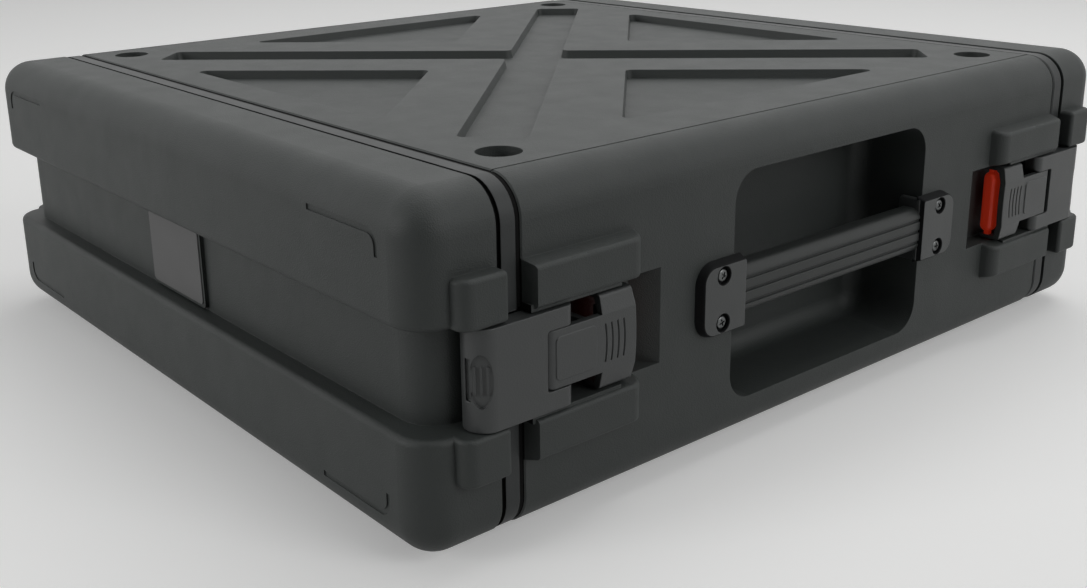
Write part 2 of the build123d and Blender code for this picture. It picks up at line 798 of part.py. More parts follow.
def make_arm():
    """Latch arm: barrel on its pin, plate along the belt, fork for the trigger."""
    height = belt_height - 2 * latch_clearance
    low = belt_z - height / 2
    face_x = latch_face_x
    back_x = face_x - arm_thickness
    with BuildPart() as arm:
        with BuildSketch(Plane.XY.offset(low)):
            with BuildLine():
                Polyline(
                    (back_x, -arm_pin_y),
                    (face_x, -arm_pin_y),
                    (face_x, -arm_end_y),
                    (back_x, -arm_end_y),
                    close=True,
                )
            make_face()
            with Locations((arm_pin_x, -arm_pin_y)):
                Circle(arm_barrel)
        extrude(amount=height)
        tip = arm.edges().filter_by(Axis.Z).group_by(Axis.Y)[-1].sort_by(Axis.X)[-1]
        fillet(tip, radius=arm_end_round)
        # Notch between the two prongs of the fork
        notch_height = stem_height + 2 * stem_clearance
        with BuildSketch(Plane.YZ.offset(back_x - arm_barrel)) as notch:
            with Locations((-(notch_end_y + arm_end_y) / 2, belt_z)):
                Rectangle(notch_end_y - arm_end_y, notch_height)
            fillet(notch.vertices().group_by(Axis.X)[0], radius=notch_round)
            with Locations((-arm_end_y + arm_end_round, belt_z)):
                Rectangle(2 * arm_end_round, height + 2 * over)
            mouth = [
                corner
                for corner in notch.vertices().filter_by_position(Axis.X, -arm_end_y - 1, -arm_end_y + 1)
                if abs(corner.Y - belt_z) < notch_height / 2 + 1
            ]
            fillet(mouth, radius=prong_round)
        extrude(amount=2 * arm_barrel + arm_thickness, mode=Mode.SUBTRACT)
        # Hollow on the inner side
        with BuildSketch(Plane.YZ.offset(back_x)):
            hollow_start = arm_pin_y - arm_barrel - 1
            hollow_end = notch_end_y + arm_skin
            with Locations((-(hollow_start + hollow_end) / 2, belt_z)):
                RectangleRounded(
                    hollow_start - hollow_end, height - 2 * arm_pocket_margin, arm_pocket_corner
                )
        extrude(amount=arm_thickness - arm_skin, mode=Mode.SUBTRACT)
        # Thumb dish with three ribs, on the curve of the barrel
        normal = Vector(cos(radians(dish_angle)), -sin(radians(dish_angle)), 0)
        centre = Vector(arm_pin_x, -arm_pin_y, belt_z)
        dish_plane = Plane(origin=centre + normal * (arm_barrel - dish_depth), x_dir=(0, 0, 1), z_dir=normal)
        with BuildSketch(dish_plane):
            Ellipse(dish_height / 2, dish_width / 2)
        extrude(amount=dish_depth + arm_barrel / 2, mode=Mode.SUBTRACT)
        with BuildSketch(dish_plane):
            with GridLocations(1, dish_rib_pitch, 1, 3):
                SlotOverall(dish_rib_height, dish_rib)
        extrude(amount=dish_rib_rise)
        # Narrow slot beside the dish
        slot_normal = Vector(cos(radians(slot_angle)), -sin(radians(slot_angle)), 0)
        slot_plane = Plane(
            origin=centre + slot_normal * (arm_barrel - slot_depth), x_dir=(0, 0, 1), z_dir=slot_normal
        )
        with BuildSketch(slot_plane):
            Rectangle(slot_height, slot_width)
        extrude(amount=slot_depth + over, mode=Mode.SUBTRACT)
        # Bores of the arm's own pin and of the trigger's pin
        with BuildSketch(Plane.XY.offset(low)):
            with Locations((arm_pin_x, -arm_pin_y)):
                Circle(arm_pin_radius + pin_clearance)
            with Locations((trigger_pin_x, -trigger_pin_y)):
                Circle(trigger_pin_radius + pin_clearance)
        extrude(amount=height, mode=Mode.SUBTRACT)
    return arm.part


def trigger_stem():
    """Knuckle and stem of the trigger, its corners beside the knuckle rounded."""
    face_x = trigger_pin_x + trigger_knuckle
    with BuildPart() as stem:
        with BuildSketch(Plane.XY.offset(belt_z - stem_height / 2)):
            with Locations((trigger_pin_x, -trigger_pin_y)):
                Circle(trigger_knuckle)
            with Locations((face_x - stem_thickness / 2, -(trigger_pin_y + head_start_y - over) / 2)):
                Rectangle(stem_thickness, trigger_pin_y - head_start_y + over)
        extrude(amount=stem_height)
        with BuildSketch(Plane.YZ.offset(trigger_pin_x - trigger_knuckle - over)) as outline:
            start = trigger_pin_y + trigger_knuckle
            end = head_start_y - over
            with Locations((-(start + end) / 2, belt_z)):
                Rectangle(start - end, stem_height)
            fillet(outline.vertices().group_by(Axis.X)[0], radius=stem_round)
        extrude(amount=2 * (trigger_knuckle + over), mode=Mode.INTERSECT)
    return stem.part


def trigger_head():
    """Head of the trigger: a plate with sloping sides, a flange at each, and a bowed free edge."""
    face_x = trigger_pin_x + trigger_knuckle
    back_x = face_x - stem_thickness
    flange_x = face_x - head_flange_depth
    half = head_height / 2
    flat = stem_height / 2
    with BuildPart() as head:
        with BuildSketch(Plane.XZ.offset(head_end_y)) as profile:
            with BuildLine():
                Polyline(
                    (face_x, belt_z),
                    (face_x, belt_z + flat),
                    (face_x - head_slope, belt_z + half),
                    (flange_x, belt_z + half),
                    (flange_x, belt_z + half - head_flange),
                    (back_x - head_slope, belt_z + half - head_flange),
                    (back_x, belt_z + flat),
                    (back_x, belt_z),
                    close=True,
                )
            make_face()
            shoulder = profile.vertices().filter_by_position(Axis.Y, belt_z + half - 0.1, belt_z + half + 0.1)
            fillet(shoulder.sort_by(Axis.X)[-1], radius=head_corner)
        extrude(amount=head_length)
        mirror(about=Plane.XY.offset(belt_z))
        with BuildSketch(Plane.YZ.offset(flange_x - over)):
            with BuildLine():
                corner_y = -head_end_y - head_bow
                Polyline(
                    (corner_y, belt_z - half),
                    (-head_start_y, belt_z - half),
                    (-head_start_y, belt_z + half),
                    (corner_y, belt_z + half),
                )
                ThreePointArc((corner_y, belt_z + half), (-head_end_y, belt_z), (corner_y, belt_z - half))
            make_face()
        extrude(amount=head_flange_depth + 2 * over, mode=Mode.INTERSECT)
    return head.part


def make_trigger():
    """T-shaped trigger: knuckle, stem, hook behind the keeper, head with side flanges."""
    face_x = trigger_pin_x + trigger_knuckle
    back_x = face_x - stem_thickness
    hook_y = keeper_y - keeper_radius - hook_gap
    hook_depth = back_x - keeper_x + hook_overlap
    stem = trigger_stem()
    head = trigger_head()
    with BuildPart() as trigger:
        add(stem)
        add(head)
        # Rib that the release spring pushes against
        with BuildSketch(Plane.XY.offset(belt_z - stem_height / 2)):
            with Locations((back_x - rib_depth / 2, -rib_y - rib_thickness / 2)):
                Rectangle(rib_depth, rib_thickness)
        extrude(amount=stem_height)
        # Hook that stands behind the keeper
        with BuildSketch(Plane.XY.offset(belt_z - hook_width / 2)):
            with Locations((back_x - hook_depth / 2, -hook_y + hook_thickness / 2)):
                Rectangle(hook_depth, hook_thickness)
        extrude(amount=hook_width)
        # Raised panel on the stem
        panel_length = stem_length - panel_margin
        with BuildSketch(Plane.YZ.offset(face_x)):
            with Locations((-trigger_pin_y + panel_length / 2, belt_z)):
                RectangleRounded(panel_length, stem_height - 2 * panel_margin, panel_corner)
        extrude(amount=panel_rise)
        # Curved finger grooves across the head
        with BuildSketch(Plane.YZ.offset(face_x)):
            for step in range(finger_groove_count):
                groove_y = -head_start_y + finger_groove_start + step * finger_groove_pitch
                with BuildLine() as arc:
                    ThreePointArc(
                        (groove_y - head_bow / 2, belt_z + finger_groove_height / 2),
                        (groove_y, belt_z),
                        (groove_y - head_bow / 2, belt_z - finger_groove_height / 2),
                    )
                trace(arc.line, line_width=finger_groove_width)
        extrude(amount=-finger_groove_depth, mode=Mode.SUBTRACT)
        # Slots that guide the release bar
        with BuildSketch(Plane.XY.offset(belt_z - head_height / 2)):
            with Locations((release_x, -release_end_y - (release_width + release_travel) / 2)):
                Rectangle(
                    tab_width + 2 * release_clearance, tab_length + release_travel + 2 * release_clearance
                )
        extrude(amount=head_height, mode=Mode.SUBTRACT)
        # Pin bore
        with BuildSketch(Plane.XY.offset(belt_z - stem_height / 2)):
            with Locations((trigger_pin_x, -trigger_pin_y)):
                Circle(trigger_pin_radius + pin_clearance)
        extrude(amount=stem_height, mode=Mode.SUBTRACT)
    return trigger.part


def make_release():
    """Red release bar that slides in the trigger's head, bored for its spring."""
    with BuildPart() as bar:
        with BuildSketch(Plane.XZ.offset(release_end_y)):
            with Locations((release_x, belt_z)):
                SlotOverall(release_height, release_depth, rotation=90)
        extrude(amount=release_width)
        fillet(bar.faces().filter_by(Axis.Y).edges(), radius=release_round)
        # Tabs that run in the slots of the head's flanges
        with BuildSketch(Plane.XZ.offset(release_end_y + (release_width - tab_length) / 2)):
            with Locations((release_x, belt_z)):
                Rectangle(tab_width, head_height - 2 * tab_margin)
        extrude(amount=tab_length)
        with BuildSketch(Plane.XZ.offset(release_end_y + release_width)):
            with Locations((release_x, belt_z)):
                Circle(spring_radius + spring_bore_clearance)
        bore_depth = spring_overlap + release_travel + spring_bore_clearance
        extrude(amount=-bore_depth, mode=Mode.SUBTRACT)
    return bar.part


def make_latches():
    """Four trigger latches, each with its pins, keeper, release bar and spring."""
    arm = make_arm()
    trigger = make_trigger()
    release = make_release()
    arm_height = belt_height - 2 * latch_clearance
    pins = (
        ("arm_pin", arm_pin_x, arm_pin_y, arm_pin_radius, belt_height + 2 * arm_pin_bite),
        ("trigger_pin", trigger_pin_x, trigger_pin_y, trigger_pin_radius, arm_height),
        ("keeper", keeper_x, keeper_y, keeper_radius, belt_height + 2 * keeper_bite),
    )
    made = {"latch_arm": arm, "latch_trigger": trigger, "latch_release": release}
    for name, x, y, radius, length in pins:
        with BuildPart() as pin:
            with BuildSketch(Plane.XY.offset(belt_z - length / 2)):
                with Locations((x, -y)):
                    Circle(radius)
            extrude(amount=length)
            chamfer(pin.edges(), length=pin_edge)
        made[f"latch_{name}"] = pin.part
    with BuildPart() as spring:
        with BuildSketch(Plane.XZ.offset(rib_y)):
            with Locations((release_x, belt_z)):
                Circle(spring_radius)
                Circle(spring_radius - spring_wall, mode=Mode.SUBTRACT)
        extrude(amount=-(rib_gap + spring_overlap))
    made["latch_spring"] = spring.part
    for side in ("right", "left"):
        for end in ("front", "rear"):
            for name, part in made.items():
                save(mirrored(part, side, end), f"{name}_{end}_{side}")


make_sleeve()
make_feet()
make_rails()
make_handles()
make_covers()
make_latches()
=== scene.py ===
"""A shallow moulded rack case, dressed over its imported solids.

The sleeve stands on four feet. Its front cover faces -Y, one handle side faces +X, and lengths are in
metres.
Each sub-assembly is a class with its own sizes, which dresses its solids and builds its finer pieces.
"""

import logging
import math
from dataclasses import dataclass, field
from enum import Enum
from typing import Protocol

import bmesh
import bpy
from mathutils import Matrix, Vector


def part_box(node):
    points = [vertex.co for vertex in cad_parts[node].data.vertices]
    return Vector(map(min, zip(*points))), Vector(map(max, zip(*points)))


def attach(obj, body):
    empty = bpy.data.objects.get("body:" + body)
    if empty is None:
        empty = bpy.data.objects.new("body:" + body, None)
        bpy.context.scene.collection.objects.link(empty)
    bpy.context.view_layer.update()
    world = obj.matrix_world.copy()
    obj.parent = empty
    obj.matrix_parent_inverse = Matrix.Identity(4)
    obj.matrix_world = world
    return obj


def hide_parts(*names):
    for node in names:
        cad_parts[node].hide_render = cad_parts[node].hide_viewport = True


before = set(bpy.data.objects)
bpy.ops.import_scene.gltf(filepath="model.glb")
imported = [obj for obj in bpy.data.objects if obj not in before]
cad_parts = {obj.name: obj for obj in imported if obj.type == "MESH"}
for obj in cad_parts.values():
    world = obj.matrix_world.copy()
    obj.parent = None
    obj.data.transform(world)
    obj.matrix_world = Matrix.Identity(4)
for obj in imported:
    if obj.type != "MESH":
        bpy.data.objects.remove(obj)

log = logging.getLogger("rack_case")
Colour = tuple[float, float, float]
Point = tuple[float, float, float]
FULL_TURN = math.tau


class End(Enum):
    """The two open ends of the sleeve, by the sign of Y."""

    FRONT = -1
    REAR = 1

    @property
    def word(self) -> str:
        """The end's word in node and body names."""
        return self.name.lower()


class Side(Enum):
    """The two handle sides of the sleeve, by the sign of X."""

    RIGHT = 1
    LEFT = -1

    @property
    def word(self) -> str:
        """The side's word in node and body names."""
        return self.name.lower()


CORNERS: tuple[tuple[End, Side], ...] = tuple((end, side) for end in End for side in Side)


def shown_share(tree: bpy.types.NodeTree) -> bpy.types.NodeSocket:
    """Tell the rays that show the surroundings from the rays that only light the case.

    Args:
        tree: the node tree of a material or of the world.

    Returns:
        A share that is 1 for camera, glossy and transmission rays and 0 for others.
    """
    path = tree.nodes.new("ShaderNodeLightPath")
    share = path.outputs["Is Camera Ray"]
    for ray in ("Is Glossy Ray", "Is Transmission Ray"):
        larger = tree.nodes.new("ShaderNodeMath")
        larger.operation = "MAXIMUM"
        tree.links.new(share, larger.inputs[0])
        tree.links.new(path.outputs[ray], larger.inputs[1])
        share = larger.outputs["Value"]
    return share


class Shading:
    """One node material and the short steps that wire it."""

    def __init__(self, name: str) -> None:
        """Start an empty material.

        Args:
            name: the material's name.
        """
        self.material = bpy.data.materials.new(name)
        self.material.use_nodes = True
        self.tree = self.material.node_tree
        self.tree.nodes.clear()
        self.output = self.add("ShaderNodeOutputMaterial")
        self.place = self.add("ShaderNodeTexCoord").outputs["Object"]

    def add(self, kind: str, **settings: object) -> bpy.types.Node:
        """Add a node.

        Args:
            kind: the node's type name.
            **settings: node properties to set.

        Returns:
            The new node.
        """
        made = self.tree.nodes.new(kind)
        for key, value in settings.items():
            setattr(made, key, value)
        return made

    def join(self, source: bpy.types.NodeSocket, target: bpy.types.NodeSocket) -> None:
        """Link one socket to another.

        Args:
            source: the output that gives the value.
            target: the input that takes it.
        """
        self.tree.links.new(source, target)

    def noise(
        self, size: float, detail: float = 3.0, stretch: Point = (1.0, 1.0, 1.0),
    ) -> bpy.types.NodeSocket:
        """Add cloudy noise.

        Args:
            size: length of one blot.
            detail: octaves of finer noise.
            stretch: factor on each axis before the noise is read.

        Returns:
            The noise value, from 0 to 1.
        """
        spread = self.add("ShaderNodeMapping")
        spread.inputs["Scale"].default_value = stretch
        self.join(self.place, spread.inputs["Vector"])
        cloud = self.add("ShaderNodeTexNoise")
        cloud.inputs["Scale"].default_value = 1.0 / size
        cloud.inputs["Detail"].default_value = detail
        self.join(spread.outputs["Vector"], cloud.inputs["Vector"])
        return cloud.outputs["Fac"]

    def cells(self, size: float, smoothness: float = 0.6) -> bpy.types.NodeSocket:
        """Add rounded cells, like the grain etched into a mould.

        Args:
            size: width of one cell.
            smoothness: how softly the cells run together.

        Returns:
            The distance from each cell's middle.
        """
        grain = self.add("ShaderNodeTexVoronoi", feature="SMOOTH_F1")
        grain.inputs["Scale"].default_value = 1.0 / size
        grain.inputs["Smoothness"].default_value = smoothness
        self.join(self.place, grain.inputs["Vector"])
        return grain.outputs["Distance"]

    def spread(
        self,
        value: bpy.types.NodeSocket,
        low: float,
        high: float,
        start: float = 0.3,
        stop: float = 0.7,
    ) -> bpy.types.NodeSocket:
        """Map a value's middle part onto a range.

        Args:
            value: the value to map.
            low: the result at start.
            high: the result at stop.
            start: lower end of the part that is read.
            stop: upper end of the part that is read.

        Returns:
            The mapped value.
        """
        mapped = self.add("ShaderNodeMapRange")
        mapped.inputs["From Min"].default_value = start
        mapped.inputs["From Max"].default_value = stop
        mapped.inputs["To Min"].default_value = low
        mapped.inputs["To Max"].default_value = high
        self.join(value, mapped.inputs["Value"])
        return mapped.outputs["Result"]

    def product(self, first: bpy.types.NodeSocket, second: bpy.types.NodeSocket) -> bpy.types.NodeSocket:
        """Multiply two values.

        Args:
            first: one value.
            second: the other value.

        Returns:
            Their product.
        """
        times = self.add("ShaderNodeMath", operation="MULTIPLY")
        self.join(first, times.inputs[0])
        self.join(second, times.inputs[1])
        return times.outputs["Value"]

    def blend(
        self,
        share: bpy.types.NodeSocket,
        first: Colour | bpy.types.NodeSocket,
        second: Colour | bpy.types.NodeSocket,
    ) -> bpy.types.NodeSocket:
        """Mix two colours.

        Args:
            share: how much of the second colour shows.
            first: the colour at share 0, fixed or from a socket.
            second: the colour at share 1, fixed or from a socket.

        Returns:
            The mixed colour.
        """
        mixed = self.add("ShaderNodeMix", data_type="RGBA")
        self.join(share, mixed.inputs[0])
        sockets = [socket for socket in mixed.inputs if socket.type == "RGBA"]
        for socket, side in zip(sockets, (first, second)):
            if isinstance(side, bpy.types.NodeSocket):
                self.join(side, socket)
            else:
                socket.default_value = (*side, 1.0)
        return next(socket for socket in mixed.outputs if socket.type == "RGBA")

    def rounded(self, radius: float, samples: int = 6) -> bpy.types.NodeSocket:
        """Add a normal that softens sharp edges.

        Args:
            radius: radius of the softened edges.
            samples: rays that each point looks round with.

        Returns:
            The softened normal.
        """
        soft = self.add("ShaderNodeBevel", samples=samples)
        soft.inputs["Radius"].default_value = radius
        return soft.outputs["Normal"]

    def edges(
        self, soft: bpy.types.NodeSocket, sharp: float = 0.80, flat: float = 0.995,
    ) -> bpy.types.NodeSocket:
        """Find edges by how far the softened normal leans from the true one.

        Args:
            soft: a normal from rounded.
            sharp: cosine of the lean that counts as a sharp edge.
            flat: cosine of the lean that still counts as flat.

        Returns:
            A share that is 0 on flats and 1 on a sharp edge.
        """
        true_normal = self.add("ShaderNodeNewGeometry").outputs["True Normal"]
        lean = self.add("ShaderNodeVectorMath", operation="DOT_PRODUCT")
        self.join(soft, lean.inputs[0])
        self.join(true_normal, lean.inputs[1])
        return self.spread(lean.outputs["Value"], 1.0, 0.0, sharp, flat)

    def relief(
        self, height: bpy.types.NodeSocket, depth: float, under: bpy.types.NodeSocket,
    ) -> bpy.types.NodeSocket:
        """Add a bump.

        Args:
            height: the height value.
            depth: how far a height of 1 stands out.
            under: the normal that the bump starts from.

        Returns:
            The bumped normal.
        """
        bump = self.add("ShaderNodeBump")
        bump.inputs["Distance"].default_value = depth
        bump.inputs["Strength"].default_value = 1.0
        self.join(height, bump.inputs["Height"])
        self.join(under, bump.inputs["Normal"])
        return bump.outputs["Normal"]

    def surface(self, roughness: float, specular: float, metallic: float = 0.0) -> bpy.types.Node:
        """Add the surface shader and join it to the output.

        Args:
            roughness: how matt it is where no texture is joined.
            specular: strength of its plain reflection.
            metallic: 1 for bare metal.

        Returns:
            The shader node.
        """
        skin = self.add("ShaderNodeBsdfPrincipled")
        skin.inputs["Roughness"].default_value = roughness
        skin.inputs["Specular IOR Level"].default_value = specular
        skin.inputs["Metallic"].default_value = metallic
        self.join(skin.outputs["BSDF"], self.output.inputs["Surface"])
        return skin


class Finish(Protocol):
    """Anything that gives a material."""

    def material(self) -> bpy.types.Material:
        """The finish's material, made on first use."""


@dataclass(frozen=True)
class MouldedPlastic:
    """Moulded plastic with an etched grain, faint mottling and lighter edges, partly scuffed wear and
    partly a painted highlight.

    A glow above 0 adds a little of the plastic's own colour as emitted light: a painted glow, though the
    part is no lamp.
    """

    name: str
    colour: Colour
    scuff_and_sheen_colour: Colour
    roughness: float = 0.55
    specular: float = 0.35
    grain: float = 0.0011
    grain_depth: float = 0.00012
    edge_round: float = 0.0011
    wear: float = 0.5
    glow: float = 0.0
    least_wear: float = 0.15
    wear_patch: float = 0.012
    mottle_patch: float = 0.09
    mottle: float = 0.035
    dull_patch: float = 0.02
    dull_range: tuple[float, float] = (-0.02, 0.03)
    wave: float = 0.004
    wave_share: float = 0.4

    def material(self) -> bpy.types.Material:
        """The finish's material, made on first use."""
        made = bpy.data.materials.get(self.name)
        if made is not None:
            return made
        work = Shading(self.name)
        skin = work.surface(self.roughness, self.specular)
        soft = work.rounded(self.edge_round)
        # Edges get a lighter colour in patches: partly scuffed wear, partly a painted highlight along
        # rounded edges.
        scuff_and_sheen_share = work.spread(work.noise(self.wear_patch), self.least_wear, self.wear)
        cloud = work.spread(work.noise(self.mottle_patch, 5.0), 0.0, 1.0)
        mottled = work.blend(cloud, self.shade(1.0 - self.mottle), self.shade(1.0 + self.mottle))
        edge_scuff_and_sheen = work.product(work.edges(soft), scuff_and_sheen_share)
        work.join(work.blend(edge_scuff_and_sheen, mottled, self.scuff_and_sheen_colour), skin.inputs["Base Color"])
        low, high = (self.roughness + change for change in self.dull_range)
        work.join(work.spread(work.noise(self.dull_patch, 4.0), low, high), skin.inputs["Roughness"])
        fine = work.relief(work.cells(self.grain), self.grain_depth, soft)
        broad = work.relief(work.noise(self.wave, 2.0), self.grain_depth * self.wave_share, fine)
        work.join(broad, skin.inputs["Normal"])
        # Painted glow: the part emits a little of its own colour.
        skin.inputs["Emission Color"].default_value = (*self.colour, 1.0)
        skin.inputs["Emission Strength"].default_value = self.glow
        return work.material

    def shade(self, factor: float) -> Colour:
        """Darken or lighten the base colour.

        Args:
            factor: what each channel is multiplied by.

        Returns:
            The changed colour.
        """
        return tuple(channel * factor for channel in self.colour)


@dataclass(frozen=True)
class PlatedSteel:
    """Plated or painted steel with fine streaks and a few dull patches."""

    name: str
    colour: Colour
    roughness: float = 0.3
    metallic: float = 1.0
    specular: float = 0.5
    streak: Point = (1.0, 1.0, 0.06)
    edge_round: float = 0.0003
    dark_share: float = 0.82
    patch: float = 0.006
    line: float = 0.0004
    line_depth: float = 0.00001
    dull_range: tuple[float, float] = (-0.08, 0.14)

    def material(self) -> bpy.types.Material:
        """The finish's material, made on first use."""
        made = bpy.data.materials.get(self.name)
        if made is not None:
            return made
        work = Shading(self.name)
        skin = work.surface(self.roughness, self.specular, self.metallic)
        dark = tuple(channel * self.dark_share for channel in self.colour)
        patches = work.spread(work.noise(self.patch, 4.0), 0.0, 1.0)
        work.join(work.blend(patches, dark, self.colour), skin.inputs["Base Color"])
        lines = work.noise(self.line, 2.0, self.streak)
        low, high = (self.roughness + change for change in self.dull_range)
        work.join(work.spread(lines, low, high), skin.inputs["Roughness"])
        soft = work.rounded(self.edge_round)
        work.join(work.relief(lines, self.line_depth, soft), skin.inputs["Normal"])
        return work.material


@dataclass(frozen=True)
class FloorFinish:
    """Pale floor that takes the case's soft shadow, and throws little light back up at the case."""

    name: str = "pale_floor"
    colour: Colour = (0.90, 0.90, 0.89)
    thrown: Colour = (0.24, 0.24, 0.24)
    glow: float = 0.24
    roughness: float = 0.9
    specular: float = 0.1
    blot: float = 0.4
    blot_share: float = 0.985

    def material(self) -> bpy.types.Material:
        """The finish's material, made on first use."""
        work = Shading(self.name)
        skin = work.surface(self.roughness, self.specular)
        shown = shown_share(work.tree)
        blotted = tuple(channel * self.blot_share for channel in self.colour)
        pale = work.blend(work.noise(self.blot, 2.0), self.colour, blotted)
        work.join(work.blend(shown, self.thrown, pale), skin.inputs["Base Color"])
        skin.inputs["Emission Color"].default_value = (1.0, 1.0, 1.0, 1.0)
        work.join(work.spread(shown, 0.0, self.glow, 0.0, 1.0), skin.inputs["Emission Strength"])
        return work.material


@dataclass(frozen=True)
class CardFinish:
    """Matt black card that keeps light off the corners it faces."""

    name: str = "black_card"
    colour: Colour = (0.02, 0.02, 0.02)

    def material(self) -> bpy.types.Material:
        """The finish's material, made on first use."""
        work = Shading(self.name)
        skin = work.surface(1.0, 0.0)
        skin.inputs["Base Color"].default_value = (*self.colour, 1.0)
        return work.material


SHELL = MouldedPlastic(
    "shell_plastic", (0.027, 0.0315, 0.030), (0.052, 0.057, 0.056), roughness=0.58, specular=0.45,
    grain=0.0007, grain_depth=0.00014, edge_round=0.0005,
)
RIM = MouldedPlastic(
    "rim_plastic", (0.027, 0.030, 0.030), (0.06, 0.065, 0.064), roughness=0.5, grain_depth=0.00005,
)
TRIM = MouldedPlastic(
    "latch_plastic", (0.042, 0.0455, 0.0455), (0.080, 0.085, 0.085), roughness=0.44, specular=0.55,
    grain=0.0008, grain_depth=0.00006, edge_round=0.0009, wear=0.6,
)
CAP_SIDE = MouldedPlastic(
    "cap_side", (0.0085, 0.009, 0.0095), (0.02, 0.021, 0.021), roughness=0.7, specular=0.12,
    grain=0.0008, grain_depth=0.00004, edge_round=0.0006,
)
GRIP = MouldedPlastic(
    "grip_plastic", (0.024, 0.027, 0.026), (0.06, 0.065, 0.064), roughness=0.44, specular=0.36,
    grain=0.0008, grain_depth=0.00004, edge_round=0.0008,
)
# Near-black rubber for the feet and gaskets, also used as painted shade on seam and groove faces.
RUBBER_AND_SEAM_SHADE = MouldedPlastic(
    "rubber_and_seam_shade", (0.0045, 0.0045, 0.0045), (0.01, 0.01, 0.01), roughness=0.8, specular=0.1,
    grain=0.0006, grain_depth=0.00004, edge_round=0.0006,
)
# The release bars carry a painted glow that keeps them bright in their shaded pockets.
RED = MouldedPlastic(
    "red_release", (1.0, 0.055, 0.016), (1.0, 0.09, 0.03), roughness=0.34, specular=0.5,
    grain=0.0006, grain_depth=0.00002, edge_round=0.0006, wear=0.3, glow=0.09,
)
BADGE = MouldedPlastic(
    "bare_badge", (0.17, 0.17, 0.17), (0.20, 0.20, 0.20), roughness=0.6, specular=0.3,
    grain=0.0005, grain_depth=0.00001, edge_round=0.0004,
)
ZINC = PlatedSteel("zinc_steel", (0.55, 0.56, 0.57))
BLACK_STEEL = PlatedSteel("black_steel", (0.035, 0.036, 0.037), roughness=0.42, metallic=0.0)
SCREW_STEEL = PlatedSteel("screw_steel", (0.13, 0.135, 0.135), roughness=0.34, streak=(1.0, 1.0, 1.0))
FLOOR = FloorFinish()
CARD = CardFinish()


def node(name: str) -> bpy.types.Object:
    """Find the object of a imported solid.

    Args:
        name: the solid's node name.

    Returns:
        Its object.
    """
    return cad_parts[name]


def dress(name: str, finish: Finish, soft_angle: float = 28.0) -> None:
    """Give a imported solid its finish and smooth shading.

    Args:
        name: the solid's node name.
        finish: the finish to put on it.
        soft_angle: edges that bend less than this, in degrees, are shaded smooth.
    """
    solid = node(name)
    solid.data.materials.clear()
    solid.data.materials.append(finish.material())
    solid.data.polygons.foreach_set("use_smooth", [True] * len(solid.data.polygons))
    solid.data.set_sharp_from_angle(angle=math.radians(soft_angle))


def paint_seam_shade(data: bpy.types.Mesh, near: float, far: float, facing: float = 0.9) -> None:
    """Paint the faces that lie in a seam or a groove with the near-black rubber finish, as painted shade
    for the deep gap, partly standing for a dark seal.

    Args:
        data: the mesh.
        near: least distance of such a face from the middle along Y.
        far: greatest distance of such a face from the middle along Y.
        facing: how squarely such a face has to face along Y, from 0 to 1.
    """
    if len(data.materials) == 1:
        data.materials.append(RUBBER_AND_SEAM_SHADE.material())
    for face in data.polygons:
        if near < abs(face.center.y) < far and abs(face.normal.y) >= facing:
            face.material_index = 1


def mesh_piece(
    name: str, work: bmesh.types.BMesh, finish: Finish, soft_angle: float = 35.0,
) -> bpy.types.Object:
    """Turn a finished bmesh into a piece with its finish.

    Args:
        name: the piece's name.
        work: the mesh, which is freed.
        finish: the finish to put on it.
        soft_angle: edges that bend less than this, in degrees, are shaded smooth.

    Returns:
        The new object, linked to the scene.
    """
    bmesh.ops.recalc_face_normals(work, faces=work.faces[:])
    data = bpy.data.meshes.new(name)
    work.to_mesh(data)
    work.free()
    data.materials.append(finish.material())
    data.polygons.foreach_set("use_smooth", [True] * len(data.polygons))
    data.set_sharp_from_angle(angle=math.radians(soft_angle))
    piece = bpy.data.objects.new(name, data)
    bpy.context.scene.collection.objects.link(piece)
    return piece


def loft(work: bmesh.types.BMesh, rows: list[list[bmesh.types.BMVert]]) -> None:
    """Join closed rows of points with quads.

    Args:
        work: the mesh to add to.
        rows: rows of as many points each, in order.
    """
    for upper, lower in zip(rows, rows[1:]):
        for step in range(len(upper)):
            after = (step + 1) % len(upper)
            work.faces.new((upper[step], upper[after], lower[after], lower[step]))


def rounded_outline(
    near: float, far: float, half: float, far_round: float, near_round: float, bends: int,
) -> list[tuple[float, float]]:
    """Outline of a plate with one radius on its far corners and another on its near ones.

    Args:
        near: where its near side lies.
        far: where its far side lies.
        half: half its height.
        far_round: radius of the far corners.
        near_round: radius of the near corners.
        bends: steps in each corner.

    Returns:
        Points round the outline.
    """
    corners = (
        (far - far_round, half - far_round, far_round, 0.0),
        (near + near_round, half - near_round, near_round, 0.25),
        (near + near_round, near_round - half, near_round, 0.5),
        (far - far_round, far_round - half, far_round, 0.75),
    )
    return [
        (x + radius * math.cos(turn), z + radius * math.sin(turn))
        for x, z, radius, start in corners
        for turn in (FULL_TURN * (start + 0.25 * step / bends) for step in range(bends + 1))
    ]


